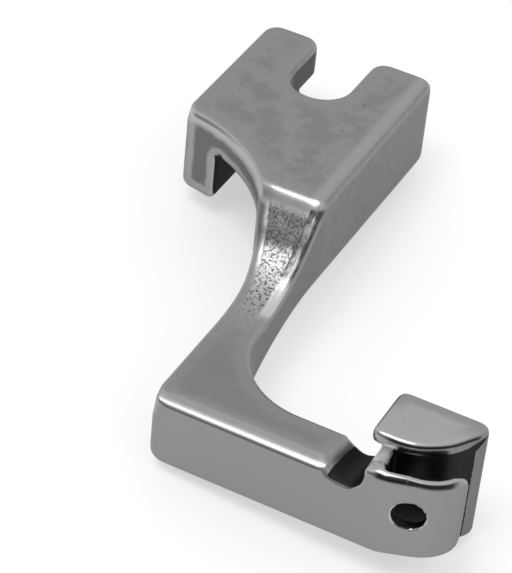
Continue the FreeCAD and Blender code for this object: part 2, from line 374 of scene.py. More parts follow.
class Zones:
    """Masks for the foot's regions, from its own coordinates; they work in any node tree."""

    def __init__(self, nodes: Nodes, where: Link, layout: Layout) -> None:
        """Split the coordinates.

        Args:
            nodes: The node maker.
            where: The foot's own coordinates in millimetres.
            layout: Where the features are.
        """
        self.nodes = nodes
        self.layout = layout
        self.x, self.y, self.z = (where.part(axis) for axis in Axis)

    def reach(self, first: Link, second: Link, centre: Point) -> Link:
        """Distance from an axis.

        Args:
            first: One coordinate.
            second: Another coordinate.
            centre: The axis's place in the two.

        Returns:
            The distance in millimetres.
        """
        return ((first - centre[0]) ** 2.0 + (second - centre[1]) ** 2.0) ** 0.5

    def past_ramp(self) -> Link:
        """Where the sole's straight ramp has ended and the tip curls up.

        Returns:
            A mask that is 1 at the tip.
        """
        lay = self.layout
        rise = math.radians(lay.ramp_angle)
        x, y = self.x - lay.ramp_end[0], self.y - lay.ramp_end[1]
        return (x * math.cos(rise) + y * math.sin(rise)).step(-0.02, 0.02)

    def depth(self) -> Link:
        """Depth below the sole's own surface, which turns up at the tip.

        Returns:
            The depth in millimetres, and far too deep to be a rim above the tip.
        """
        lay = self.layout
        rise = math.radians(lay.ramp_angle)
        x, y = self.x - lay.ramp_end[0], self.y - lay.ramp_end[1]
        ramp = y * math.cos(rise) - x * math.sin(rise)
        curl = lay.tip_radius - self.reach(self.x, self.y, lay.tip_centre)
        too_deep = 5.0 * self.y.step(lay.tip_top, lay.tip_top + 0.1)
        return self.nodes.blend(self.past_ramp(), self.y.least(ramp), curl) + too_deep

    def saddle(self) -> Link:
        """The hollow upper side of the neck.

        Returns:
            The mask.
        """
        lay = self.layout
        run = (self.y - lay.saddle_start).most(0.0).least(lay.saddle_radius)
        height = lay.bar_width + lay.saddle_radius - (lay.saddle_radius ** 2 - run * run) ** 0.5
        begun = self.y.step(lay.saddle_start - 0.2, lay.saddle_start + 0.2)
        return (self.z - height).step(-0.6, -0.3) * begun

    def off_arch(self) -> Link:
        """Distance from the round of the arch, in millimetres."""
        centre = (-self.layout.arch_radius, self.layout.arch_height)
        return abs(self.reach(self.x, self.y, centre) - self.layout.arch_radius)

    def arch(self) -> Link:
        """The concave side of the neck and the front of the leg."""
        return self.off_arch().step(0.3, 0.12) * self.y.step(13.0, 14.5) * self.x.step(0.2, -0.2)

    def arch_edge(self) -> Link:
        """The upper edge of the arch and the leg."""
        along = self.y.step(14.5, 16.0) * self.x.step(0.4, -0.2)
        return self.off_arch().step(0.8, 0.5) * along * self.z.step(9.0, 9.3)

    def groove(self) -> Link:
        """Inside of the presser bar's groove.

        Returns:
            The mask.
        """
        lay = self.layout
        across = self.x.band(lay.groove_left - 0.1, lay.groove_right + 0.1, 0.04)
        below = self.z.step(lay.groove_roof + 0.06, lay.groove_roof - 0.02)
        return across * below * self.y.step(lay.groove_front - 0.1, lay.groove_front + 0.1)

    def slot(self) -> Link:
        """Walls of the screw slot.

        Returns:
            The mask.
        """
        lay = self.layout
        across = self.x.band(lay.slot_left - 0.14, lay.slot_right + 0.14, 0.05)
        along = self.y.step(lay.slot_bottom - 0.2, lay.slot_bottom - 0.08)
        return across * along * self.z.step(lay.block_top - 0.35, lay.block_top - 0.6)

    def bar_top(self) -> Link:
        """The upper side of the sole bar."""
        return self.z.step(4.4, 4.9) * self.y.step(9.5, 5.0) * self.x.step(13.6, 13.2)

    def notch(self, wobble: Link) -> Link:
        """Floor and sides of the side notch.

        Args:
            wobble: How far the edge strays, in millimetres.

        Returns:
            The mask.
        """
        lay = self.layout
        start = (self.x - (lay.notch_left + 0.15 * self.y) + wobble).step(-0.04, 0.04)
        end = self.x.step(lay.web_start + 0.02, lay.web_start - 0.03)
        thick = self.y.band(0.1, lay.bar_thickness - 0.02, 0.03)
        return start * end * thick * self.z.band(4.0, 6.3, 0.05)

    def fabric_slot(self, wobble: Link) -> Link:
        """Inside of the slot between the two plates of the toe.

        Args:
            wobble: How far the edge strays, in millimetres.

        Returns:
            The mask.
        """
        lay = self.layout
        inner = self.depth().step(0.54, 0.62)
        corner = 0.4 * (self.y - 4.6).most(0.0)
        low = (self.z + 0.4 * wobble - corner).step(lay.lip + 0.05, lay.lip - 0.05)
        slant = 0.16 * (self.y - lay.plate_thickness)
        start = (self.x - lay.web_end + slant + 1.8 * wobble).step(-0.05, 0.03)
        wedge = 0.8 * (self.z - 6.1).most(0.0)
        end = (self.y + 0.8 * wobble - wedge).step(lay.nose_start + 0.1, lay.nose_start - 0.06)
        return inner * low * start * end

    def end_face(self) -> Link:
        """The toe end of the upper plate."""
        above = self.y.step(self.layout.nose_start - 0.5, self.layout.nose_start)
        return self.x.step(18.9, 19.1) * above * self.z.step(7.1, 6.9)

    def off_hole(self) -> Link:
        """Distance outside the needle hole's wall, in millimetres."""
        return self.reach(self.x, self.z, self.layout.hole_centre) - self.layout.hole_radius

    def hole_ring(self) -> Link:
        """The bright rim of the needle hole."""
        return self.off_hole().band(0.05, 0.13, 0.02) * self.y.step(1.6, 1.2)

    def hole(self, wobble: Link) -> Link:
        """Inside of the needle hole, with an edge that strays by the wobble."""
        return (self.off_hole() + wobble).step(0.07, 0.0)

    def inside(self, ragged: Link) -> Link:
        """Every place that polishing never reaches; the finish paints these hollows dark, partly as
        shade.

        Args:
            ragged: How far their edges stray, in millimetres.

        Returns:
            The mask.
        """
        cut = self.groove().most(self.notch(0.5 * ragged))
        return cut.most(self.fabric_slot(ragged)).most(self.hole(0.4 * ragged))


class Tone(Enum):
    """The tones of the steel, from bright to black; some of them stand in for painted light and
    shade.
    """

    # Painted highlight and painted light: the neck's right border, the arch edge and the web.
    BRIGHT = (0.8, 0.8, 0.81, 1.0)
    # Polished edges with painted highlight on them, and painted light on the cap's top.
    WORN = (0.48, 0.48, 0.485, 1.0)
    PLAIN = (0.315, 0.313, 0.320, 1.0)
    CLOUDED = (0.268, 0.266, 0.273, 1.0)
    # Unpolished steel; on the right-facing sides and the toe's end face also painted shade.
    RAW = (0.165, 0.163, 0.17, 1.0)
    # Dirt, and painted shade on the steep upper part of the neck patch.
    GRIMY = (0.12, 0.12, 0.123, 1.0)
    DARK = (0.065, 0.065, 0.068, 1.0)
    PITTED = (0.05, 0.05, 0.052, 1.0)
    # Blackened unpolished hollows with painted shade, and painted dark reflection on rolled rims.
    SOOTY = (0.03, 0.03, 0.032, 1.0)
    BLACK = (0.004, 0.004, 0.004, 1.0)


@dataclass(frozen=True)
class Surface:
    """What the finish reads at each point of the foot, in millimetres where it is a length."""

    zones: Zones
    x: Link
    y: Link
    z: Link
    depth: Link
    up: Link
    side: Link
    rim: Link
    away: Link
    cloud: Link
    patch: Link
    grain: Link
    fine: Link
    speck: Link
    streaks: Link
    ragged: Link


@dataclass(frozen=True)
class Unevenness:
    """The noises that make the steel uneven, and how far they bend the marks' edges."""

    cloud: Noise = Noise(0.55, 5.0, 0.62)
    patch: Noise = Noise(1.9, 3.0, 0.6)
    grain: Noise = Noise(6.2, 3.0, 0.7)
    fine: Noise = Noise(17.0, 2.0, 0.6)
    speck: Noise = Noise(3.6, 1.0, 0.5)
    streaks: Noise = Noise(1.0, 2.0, 0.6)
    streak_scale: Place = (9.0, 1.2, 1.2)
    torn: Noise = Noise(4.0, 3.0, 0.65)
    torn_by: float = 0.26
    inset_by_patch: float = 0.45
    inset_by_grain: float = 0.15

    def surface(self, nodes: Nodes, where: Link, layout: Layout) -> Surface:
        """Lay the noises over the foot.

        Args:
            nodes: The material's node maker.
            where: The foot's own coordinates in millimetres.
            layout: Where its features are.

        Returns:
            What the marks are made from.
        """
        zones = Zones(nodes, where, layout)
        notes = {note: nodes.add("ShaderNodeAttribute", {"attribute_name": note.value},
                                 output="Fac") for note in Note}
        patch, grain = self.patch.on(nodes, where), self.grain.on(nodes, where)
        along = nodes.add("ShaderNodeVectorMath", {"operation": "MULTIPLY"},
                          {0: where, 1: self.streak_scale})
        away = notes[Note.INSET] + self.inset_by_patch * (patch - 0.5)
        return Surface(
            zones=zones, x=zones.x, y=zones.y, z=zones.z, depth=zones.depth(),
            up=notes[Note.UP], side=notes[Note.SIDE], rim=notes[Note.RIM],
            away=away + self.inset_by_grain * (grain - 0.5),
            cloud=self.cloud.on(nodes, where), patch=patch, grain=grain,
            fine=self.fine.on(nodes, where), speck=self.speck.on(nodes, where),
            streaks=self.streaks.on(nodes, along),
            ragged=self.torn_by * (self.torn.on(nodes, where) - 0.5))


@dataclass(frozen=True)
class Spot:
    """A mask, as limits on what the finish reads at a point. What has no limit plays no part."""

    x: Pair | Band | None = None
    y: Pair | Band | None = None
    z: Pair | Band | None = None
    depth: Pair | None = None
    up: Pair | Band | None = None
    side: Pair | None = None
    rim: Pair | None = None
    away: Pair | None = None
    cloud: Pair | None = None
    patch: Pair | None = None
    grain: Pair | None = None
    speck: Pair | None = None
    streaks: Pair | None = None

    def on(self, surface: Surface | Zones) -> Link:
        """Make the mask.

        Args:
            surface: What the finish reads, or the zones where only places have limits.

        Returns:
            The mask, which is 1 where every limit is met.
        """
        limits = ((getattr(surface, name), limit) for name, limit in vars(self).items() if limit)
        return reduce(mul, (value.band(*limit) if len(limit) == 3 else value.step(*limit)
                            for value, limit in limits))


# How far up a face has to look to count as level.
LEVEL: Pair = (0.6, 0.9)


@dataclass(frozen=True)
class Marks:
    """Where casting, tumbling and use marked the foot, and where light and shade are painted on it,
    in its own millimetres.
    """

    # All over the foot.
    clouds: Spot = Spot(patch=(0.45, 0.7))
    dull: Spot = Spot(up=LEVEL, away=(0.25, 1.1))
    dull_clouds: Spot = Spot(cloud=(0.44, 0.62))
    # Right-facing sides: partly a duller finish, partly painted shade.
    sides: Spot = Spot(side=(0.3, 0.8))
    specks: Spot = Spot(speck=(0.735, 0.765))
    # Rims: partly polish, partly painted highlight.
    shine: Spot = Spot(rim=(0.012, 0.05))
    level: Spot = Spot(up=LEVEL)
    # How the hollows turn dark: blackened unpolished steel with painted shade.
    hidden: Pair = (0.3, 0.7)
    outline: Band = (0.2, 0.8, 0.15)
    # On the neck: the raw arch, the grained patch, and the strip beside it.
    raw_arch: Spot = Spot(away=(0.3, 0.62))
    patch: Spot = Spot(x=(-1.5, -1.1), z=(9.62, 9.48), away=(0.3, 0.42))
    speckled: Spot = Spot(y=(7.6, 11.5))
    pits_fade: Spot = Spot(y=(12.0, 9.0))
    pits: Pair = (0.50, 0.56)
    # The neck patch's upper part: dirt, with painted shade where it turns steep.
    grime: Pair = (14.1, 14.7)
    grime_stray: float = 0.8
    strip: Spot = Spot(x=(-2.6, 2.82, 0.06), y=(17.3, 17.1), z=(5.5, 9.6, 0.1), up=(0.22, 0.4))
    streak: Spot = Spot(x=(1.96, 2.06), y=(12.6, 13.4))
    streak_lines: Spot = Spot(streaks=(0.55, 0.4))
    beside: Spot = Spot(y=(13.8, 15.0), z=(9.25, 8.9))
    # Painted highlight along the neck's right border.
    glint: Spot = Spot(x=(2.0, 2.2), y=(9.9, 12.7, 0.5))
    flank: Spot = Spot(x=(2.6, 2.8), y=(3.4, 17.0, 0.5), side=(0.5, 0.9))
    # On the shank block.
    middle: Spot = Spot(z=(9.5, 9.9), up=LEVEL, away=(0.7, 1.6), cloud=(0.42, 0.58))
    scuffed: Spot = Spot(y=(15.5, 17.5), z=(4.5, 6.5), side=(0.3, 0.8), patch=(0.5, 0.62),
                         grain=(0.45, 0.6))
    # Smooth border by the neck's right edge: partly polish, partly painted highlight.
    polished: Spot = Spot(x=(1.75, 2.55, 0.3), z=(9.0, 9.6), up=LEVEL)
    scratch: Spot = Spot(x=(2.66, 2.72, 0.03), z=(9.0, 9.6), patch=(0.35, 0.5))
    # Painted highlight along the upper edge of the arch.
    arch_edge: Spot = Spot(up=(0.12, 0.82, 0.08))
    # On the toe and its cap.
    # Painted light: the cap's top is lightened.
    cap_top: Spot = Spot(x=(13.2, 13.6), z=(6.0, 7.6, 0.1), up=LEVEL)
    cap_back: Spot = Spot(x=(13.0, 13.4), y=(4.2, 5.8), z=(7.0, 7.2), away=(0.8, 0.2))
    # Painted light: the web's top is lightened.
    web: Spot = Spot(x=(13.9, 15.35, 0.1), y=(0.9, 1.25), z=(5.9, 6.75, 0.1))
    sole: Spot = Spot(depth=(0.12, 0.03))
    # The toe's rim and the cap's front edge: painted dark reflection on their rolled edges.
    toe_rim: Spot = Spot(x=(14.7, 15.2), z=(5.5, 6.7, 0.1), depth=(0.5, 0.35),
                         up=(0.15, 0.82, 0.1))
    toe_rim_end: Spot = Spot(x=(19.6, 19.2))
    cap_front: Spot = Spot(x=(14.2, 15.0), y=(5.6, 5.2), z=(6.9, 7.0), up=(0.25, 0.62, 0.1))
    rolled: Spot = Spot(streaks=(0.1, 0.4))


@dataclass(frozen=True)
class Coat:
    """A thin coat of one tone over what lies below it."""

    mask: Link
    tone: Tone
    cover: float = 1.0


class Coats:
    """The coats of tone that make up the finish, painted light and shade among them, with its gloss
    and its fine relief.
    """

    def __init__(self, surface: Surface, marks: Marks) -> None:
        """Make the masks that more than one coat uses.

        Args:
            surface: What the finish reads.
            marks: Where the marks are.
        """
        self.surface = surface
        self.marks = marks
        zones = surface.zones
        self.raw_arch = zones.arch() * marks.raw_arch.on(surface)
        self.patch = zones.saddle() * marks.patch.on(surface)
        self.speckled = self.patch * marks.speckled.on(surface)
        grime_and_shade_edge = zones.y + marks.grime_stray * (surface.patch - 0.5)
        self.grime = self.patch * grime_and_shade_edge.step(*marks.grime)
        self.bar_top = zones.bar_top()
        self.cap_top = marks.cap_top.on(surface)
        self.web = marks.web.on(surface)
        inside = zones.inside(surface.ragged)
        self.hidden = inside.step(*marks.hidden)
        self.outline = inside.band(*marks.outline)

    def colour(self, nodes: Nodes) -> Link:
        """Lay the coats over the plain steel, one after the other.

        Args:
            nodes: The material's node maker.

        Returns:
            The colour.
        """
        colour: Any = Tone.PLAIN.value
        for coat in self.tumbled() + self.neck() + self.worn() + self.dark():
            colour = nodes.mix(coat.cover * coat.mask, colour, coat.tone.value)
        return colour

    def tumbled(self) -> tuple[Coat, ...]:
        """The soft tones that tumbling left on the whole foot, with painted light on the cap's top,
        and the right-facing sides darker, partly a duller finish and partly painted shade.

        Returns:
            The coats, the lowest first.
        """
        here, marks = self.surface, self.marks
        flats = 0.9 * self.bar_top + 0.6 * marks.dull_clouds.on(here)
        sides = marks.sides.on(here) * (0.75 + 0.5 * here.patch)
        return (
            Coat(marks.clouds.on(here) * (1 - self.cap_top), Tone.CLOUDED, 0.3),
            Coat(marks.dull.on(here) * flats, Tone.CLOUDED),
            Coat(marks.middle.on(here), Tone.RAW, 0.17),
            # Painted light on the cap's top, and a lighter tone on the speckled lower neck patch.
            Coat(self.cap_top + 0.6 * self.speckled, Tone.WORN, 0.75),
            # Right-facing sides darker: partly a duller finish, partly painted shade.
            Coat(sides, Tone.RAW, 0.55),
            Coat(marks.scuffed.on(here), Tone.RAW, 0.5),
            Coat(marks.specks.on(here), Tone.PITTED, 0.45),
        )

    def neck(self) -> tuple[Coat, ...]:
        """The marks on the arch and neck, with the bright edges between them, partly polish and
        partly painted highlight; dirt with painted shade on the neck patch, and a painted highlight
        on the neck's right border.

        Returns:
            The coats, the lowest first.
        """
        here, marks = self.surface, self.marks
        pits = (here.grain - 0.05 * marks.pits_fade.on(here)).step(*marks.pits)
        polished = marks.polished.on(here) * (0.6 + 0.8 * here.patch)
        # Bright edges: partly polish, partly painted highlight.
        edges = (0.7 * marks.shine.on(here)).most(0.4 * polished)
        strip = marks.strip.on(here)
        lines = 0.6 + 0.4 * marks.streak_lines.on(here)
        return (
            Coat(self.raw_arch, Tone.RAW),
            # Dirt with painted shade on the neck patch's upper part.
            Coat(self.grime * (0.4 + 1.1 * here.patch), Tone.GRIMY),
            Coat(self.speckled * pits, Tone.PITTED, 0.9),
            Coat(edges, Tone.WORN),
            Coat(strip * marks.beside.on(here) * (1 - self.patch), Tone.GRIMY, 0.7),
            # Painted highlight on the neck's right border.
            Coat(strip * marks.glint.on(here), Tone.BRIGHT, 0.6),
            Coat(strip * marks.streak.on(here) * lines, Tone.PITTED),
            Coat(marks.scratch.on(here), Tone.RAW, 0.5),
        )

    def worn(self) -> tuple[Coat, ...]:
        """The tones that use left on the sole, the bar and the cap, with painted highlight along
        the arch edge and painted light on the web.

        Returns:
            The coats, the lowest first.
        """
        here, marks = self.surface, self.marks
        arch_edge = here.zones.arch_edge() * marks.arch_edge.on(here)
        return (
            Coat(marks.sole.on(here), Tone.CLOUDED, 0.85),
            Coat(marks.flank.on(here), Tone.RAW, 0.3),
            Coat(marks.level.on(here) * self.bar_top, Tone.RAW, 0.16),
            # Painted highlight on the arch edge and painted light on the web.
            Coat((0.22 * arch_edge).most(0.8 * self.web), Tone.BRIGHT),
            Coat(marks.cap_back.on(here), Tone.RAW, 0.4),
        )

    def dark(self) -> tuple[Coat, ...]:
        """The darker screw slot, painted shade on the toe's end face, the painted dark reflection
        on the rolled rims, the dark hollows, blackened unpolished steel with painted shade and a
        black line round them, and the bright ring round the needle hole.

        Returns:
            The coats, the lowest first.
        """
        here, marks = self.surface, self.marks
        toe_rim = marks.toe_rim.on(here) * marks.toe_rim_end.on(here)
        rolled = toe_rim.most(marks.cap_front.on(here)) * marks.rolled.on(here)
        return (
            Coat(here.zones.slot(), Tone.DARK, 0.95),
            # Painted shade: the toe's end face is darkened.
            Coat(here.zones.end_face(), Tone.RAW, 0.5),
            # Painted dark reflection on the rolled rims of the toe and the cap.
            Coat(rolled, Tone.SOOTY, 0.97),
            # The hollows: blackened unpolished steel with painted shade.
            Coat(self.hidden, Tone.SOOTY),
            Coat(self.outline, Tone.BLACK, 0.9),
            Coat(here.zones.hole_ring(), Tone.WORN, 0.8),
        )

    def roughness(self, satin: float) -> Link:
        """How matt the steel is.

        Args:
            satin: How matt it is where it is even.

        Returns:
            The roughness.
        """
        shares = ((0.06, self.surface.cloud), (0.04, self.surface.grain), (0.2, self.raw_arch),
                  (0.1, self.speckled), (0.1, self.grime), (0.25, self.hidden), (0.3, self.web))
        return sum((share * mask for share, mask in shares), start=satin)

    def height(self) -> Link:
        """How the steel's fine relief rises and falls.

        Returns:
            The height that the bump reads.
        """
        here = self.surface
        waves = 0.10 * here.cloud + 0.04 * here.patch + 0.02 * here.grain
        grained = self.speckled * (0.8 * here.grain + 0.35 * here.fine)
        return waves + grained + (self.raw_arch + self.hidden) * 0.3 * here.fine


@dataclass(frozen=True)
class PolishedSteel:
    """Cast steel, tumbled to a satin gloss, with cloudy patches and pits, bright edges that are
    partly polish and partly painted highlight, and painted light and shade in places.
    """

    name: str = "polished_steel"
    tint: Colour = (0.6, 0.6, 0.61, 1.0)
    satin: float = 0.2
    bump_strength: float = 0.35
    bump_depth: float = 0.06 * MILLIMETRE
    unevenness: Unevenness = Unevenness()
    marks: Marks = Marks()

    def material(self, lie: Lie, layout: Layout) -> bpy.types.Material:
        """Build the material.

        Args:
            lie: How the foot lies.
            layout: Where its features are.

        Returns:
            The material.
        """
        material = bpy.data.materials.new(self.name)
        material.use_nodes = True
        nodes = Nodes(material.node_tree)
        where = lie.coordinates(nodes)
        coats = Coats(self.unevenness.surface(nodes, where, layout), self.marks)
        bump = nodes.add("ShaderNodeBump", {}, {
            "Strength": self.bump_strength, "Distance": self.bump_depth,
            "Height": coats.height()})
        shader = nodes.add("ShaderNodeBsdfPrincipled", {}, {
            "Base Color": coats.colour(nodes), "Metallic": 1.0,
            "Roughness": coats.roughness(self.satin), "Normal": bump,
            "Specular Tint": self.tint})
        nodes.add("ShaderNodeOutputMaterial", {}, {"Surface": shader})
        return material


@dataclass(frozen=True)
class Wear:
    """Where casting and polishing changed the foot's shape, in its own millimetres.

    A reach is how far round an edge its corner is rounded.
    """

    front: Spot = Spot(x=(-2.6, -1.2), y=(17.95, 16.95), z=(8.0, 9.7))
    block_rim: Pair = (1.1, 0.7)
    leg_reach: Pair = (0.7, 0.35)
    leg_below: float = 0.9
    belly_reach: Pair = (1.1, 0.4)
    belly: Spot = Spot(y=(11.0, 17.0, 0.8), z=(5.2, 4.2))
    front_reach: Pair = (1.5, 0.9)
    front_edge: Spot = Spot(x=(-2.6, -1.2))
    arch_reach: Pair = (1.0, 0.5)
    arch_edge: Spot = Spot(y=(15.5, 16.5))
    notch_reach: Pair = (0.9, 0.5)
    notch_slant: float = 0.2
    notch_edge: Spot = Spot(y=(3.6, 3.3), z=(4.3, 4.8))
    heel_reach: Pair = (1.2, 0.6)
    heel: Spot = Spot(z=(3.6, 4.6))
    bar: Spot = Spot(x=(13.9, 13.6), y=(3.25, 3.15), z=(6.0, 5.8))
    rim: Spot = Spot(x=(14.2, 15.1), z=(6.35, 6.25))
    rim_inside: Pair = (1.9, 0.85)
    rim_outside: Pair = (-0.2, -0.1)
    rim_thin: Spot = Spot(x=(15.2, 15.5), z=(4.6, 5.6))
    rim_lifted: Spot = Spot(z=(4.8, 6.1))
    rim_flat: Spot = Spot(x=(15.87, 15.43))
    cap: Spot = Spot(x=(13.0, 13.4), y=(5.6, 3.4), z=(6.35, 6.6))
    cap_end: Spot = Spot(x=(18.2, 15.0))
    hole_reach: Pair = (0.5, 0.1)
    hole: Spot = Spot(y=(1.0, 0.5))
    hole_share: float = 2.0
    web: Spot = Spot(x=(14.9, 15.45, 0.05), y=(1.0, 2.5, 0.1), z=(4.5, 5.5))
    web_share: float = 2.5


class Skin(Nodes):
    """Makes the tree's nodes that shape the foot's skin.

    Each step takes the mesh so far and hands back the changed one.
    """

    def __init__(self, tree: bpy.types.NodeTree, layout: Layout, wear: Wear) -> None:
        """Start on a tree, which is emptied.

        Args:
            tree: The node tree, whose inputs are declared.
            layout: Where the foot's features are.
            wear: Where its shape was changed.
        """
        super().__init__(tree)
        self.layout = layout
        self.wear = wear
        group = self.add("NodeGroupInput").socket.node
        self.given = {socket.name: Link(self, socket) for socket in group.outputs if socket.name}

    def place(self) -> Link:
        """Each point's place, in the foot's own millimetres."""
        return self.add("GeometryNodeInputPosition")

    def zones(self) -> Zones:
        """The region masks at each point's place."""
        return Zones(self, self.place(), self.layout)

    def blurred(self, value: Link, steps: Any, weight: Any = 1.0) -> Link:
        """Average a vector with its neighbours'.

        Args:
            value: The vector.
            steps: How many times.
            weight: How much each point takes part.

        Returns:
            The averaged vector.
        """
        values = {"Value": value, "Iterations": steps, "Weight": weight}
        return self.add("GeometryNodeBlurAttribute", {"data_type": "FLOAT_VECTOR"}, values)

    def put(self, shape: Link, place: Link) -> Link:
        """Set each point's place."""
        return self.add("GeometryNodeSetPosition", {}, {"Geometry": shape, "Position": place})

    def moved(self, shape: Link, x: Any = 0.0, y: Any = 0.0, z: Any = 0.0) -> Link:
        """Move each point by three amounts in millimetres."""
        offset = self.add("ShaderNodeCombineXYZ", {}, {0: x, 1: y, 2: z})
        return self.add("GeometryNodeSetPosition", {}, {"Geometry": shape, "Offset": offset})

    def noted(self, shape: Link, note: Note, value: Link) -> Link:
        """Keep a number on each point of the mesh.

        Args:
            shape: The mesh.
            note: What the number says.
            value: The number.

        Returns:
            The mesh.
        """
        return self.add("GeometryNodeStoreNamedAttribute",
                        {"data_type": "FLOAT", "domain": "POINT"},
                        {"Geometry": shape, "Name": note.value, "Value": value})

    def softened(self, shape: Link) -> Link:
        """Take the sharpness off every edge."""
        return self.put(shape, self.blurred(self.place(), self.given["Soften steps"]))

    def facings(self, shape: Link) -> Link:
        """Note how far each point faces up and how far it faces right.

        Args:
            shape: The mesh.

        Returns:
            The mesh with both notes.
        """
        normal = self.add("GeometryNodeInputNormal")
        shape = self.noted(shape, Note.UP, normal.part(Axis.Z))
        return self.noted(shape, Note.SIDE, normal.part(Axis.X))

    def edges(self, shape: Link) -> Link:
        """Note how proud of its surroundings each point stands, and how far from an edge it is.

        Args:
            shape: The mesh.

        Returns:
            The mesh with both notes.
        """
        place = self.place()
        normal = self.add("GeometryNodeInputNormal")
        apart = self.add("ShaderNodeVectorMath", {"operation": "SUBTRACT"},
                         {0: place, 1: self.blurred(place, self.given["Rim blur"])})
        proud = self.add("ShaderNodeVectorMath", {"operation": "DOT_PRODUCT"},
                         {0: apart, 1: normal}, "Value")
        shape = self.noted(shape, Note.RIM, proud)
        rim = self.add("GeometryNodeInputNamedAttribute", {"data_type": "FLOAT"},
                       {"Name": Note.RIM.value}, "Attribute")
        over = self.add("FunctionNodeCompare",
                        {"data_type": "FLOAT", "operation": "GREATER_THAN"},
                        {0: rim, 1: self.given["Rim level"]})
        rims = self.add("GeometryNodeSeparateGeometry", {"domain": "POINT"},
                        {"Geometry": shape, "Selection": over})
        inset = self.add("GeometryNodeProximity", {"target_element": "POINTS"}, {0: rims},
                         "Distance")
        return self.noted(shape, Note.INSET, inset)

    def worn_front(self, shape: Link) -> Link:
        """Wear back the block's front edge, above the neck."""
        return self.moved(shape, y=self.given["Front wear"] * self.wear.front.on(self.zones()))

    def corners(self, shape: Link) -> Link:
        """Round the edges that polishing has rounded further than the solid has them."""
        weight = self.corner_weight(self.zones())
        return self.put(shape, self.blurred(self.place(), self.given["Corner steps"], weight))

    def corner_weight(self, zones: Zones) -> Link:
        """How strongly each worn corner is rounded.

        Args:
            zones: The region masks.

        Returns:
            The weight, 0 where nothing is rounded.
        """
        lay, wear, off_arch = self.layout, self.wear, zones.off_arch()
        high = zones.z.step(*(lay.block_top - below for below in wear.block_rim))
        leg = zones.reach(zones.x, zones.y, (lay.groove_left, lay.leg_front))
        leg = leg.step(*wear.leg_reach)
        leg = leg * zones.z.step(lay.groove_roof + wear.leg_below, lay.groove_roof)
        belly = off_arch.step(*wear.belly_reach) * wear.belly.on(zones)
        front = abs(zones.y - lay.block_front).step(*wear.front_reach)
        front = front * wear.front_edge.on(zones) * high
        arch = off_arch.step(*wear.arch_reach) * wear.arch_edge.on(zones) * high
        notch = abs(zones.x - lay.notch_front - wear.notch_slant * zones.y)
        notch = notch.step(*wear.notch_reach) * wear.notch_edge.on(zones)
        heel = zones.reach(zones.x, zones.y, lay.heel).step(*wear.heel_reach)
        heel = heel * wear.heel.on(zones)
        weight = (0.7 * leg).most(0.7 * belly).most(front)
        return weight.most(0.3 * arch).most(0.4 * notch).most(0.45 * heel)

    @staticmethod
    def on_ellipse(across: Link, above: Link, width: Link, drop: Link) -> tuple[Link, Link]:
        """Bring a corner down to a quarter of an ellipse.

        Args:
            across: Distance from the ellipse's middle towards the edge, in millimetres.
            above: Height above its middle.
            width: The ellipse's half width.
            drop: Its half height.

        Returns:
            How far a point moves on both axes.
        """
        out = ((across.most(0.0) / width) ** 2.0 + (above.most(0.0) / drop) ** 2.0) ** 0.5
        back = (1 / out.most(1.0) - 1) * above.step(0.0, 0.01)
        return back * across.most(0.0), back * above

    def crowned(self, shape: Link) -> Link:
        """Wear the upper side of the bar down towards the sole.

        Args:
            shape: The mesh.

        Returns:
            The mesh.
        """
        width, drop = self.given["Crown width"], self.given["Crown drop"]
        zones = self.zones()
        above_middle = zones.z - (self.layout.bar_width - drop)
        across, above = self.on_ellipse(width - zones.y, above_middle, width, drop)
        bar = self.wear.bar.on(zones)
        return self.moved(shape, y=-1 * across * bar, z=above * bar)

    def toe_rim(self, shape: Link) -> Link:
        """Thin the sole plate's upper rim at the toe, lift it a little and round it over.

        Args:
            shape: The mesh.

        Returns:
            The mesh.
        """
        lay, wear, zones = self.layout, self.wear, self.zones()
        width, drop, lift = self.given["Rim width"], self.given["Rim drop"], self.given["Rim lift"]
        depth = zones.depth()
        plate = depth.step(*wear.rim_inside) * depth.step(*wear.rim_outside)
        plate = plate * wear.rim.on(zones)
        thin = wear.rim_thin.on(zones)
        thinner = depth * self.blend(thin, 1.0, width / lay.plate_thickness)
        raised = zones.z + lift * wear.rim_lifted.on(zones)
        above_middle = raised - (lay.toe_width + lift - drop)
        across, above = self.on_ellipse(width - thinner, above_middle, width, drop)
        inward = (thinner - across - depth) * plate
        way_x, way_y = self.inward(zones)
        up = (raised - zones.z + above) * plate
        return self.moved(shape, way_x * inward, way_y * inward, up)

    def inward(self, zones: Zones) -> tuple[Link, Link]:
        """The way from the sole's surface into the plate, along the sole and up the bar.

        Args:
            zones: The region masks.

        Returns:
            Both shares of a step of one millimetre.
        """
        lay = self.layout
        rise = math.radians(lay.ramp_angle)
        past, flat = zones.past_ramp(), self.wear.rim_flat.on(zones)
        out = zones.reach(zones.x, zones.y, lay.tip_centre).most(0.1)
        curl_x, curl_y = (lay.tip_centre[0] - zones.x) / out, (lay.tip_centre[1] - zones.y) / out
        ramp_x = -math.sin(rise) * (1 - flat)
        ramp_y = math.cos(rise) + (1 - math.cos(rise)) * flat
        return self.blend(past, ramp_x, curl_x), self.blend(past, ramp_y, curl_y)

    def cap_front(self, shape: Link) -> Link:
        """Let the front edge of the cap bulge towards the sole.

        Args:
            shape: The mesh.

        Returns:
            The mesh.
        """
        zones = self.zones()
        front = self.wear.cap.on(zones) * self.wear.cap_end.on(zones)
        return self.moved(shape, y=-1 * self.given["Cap bulge"] * front)

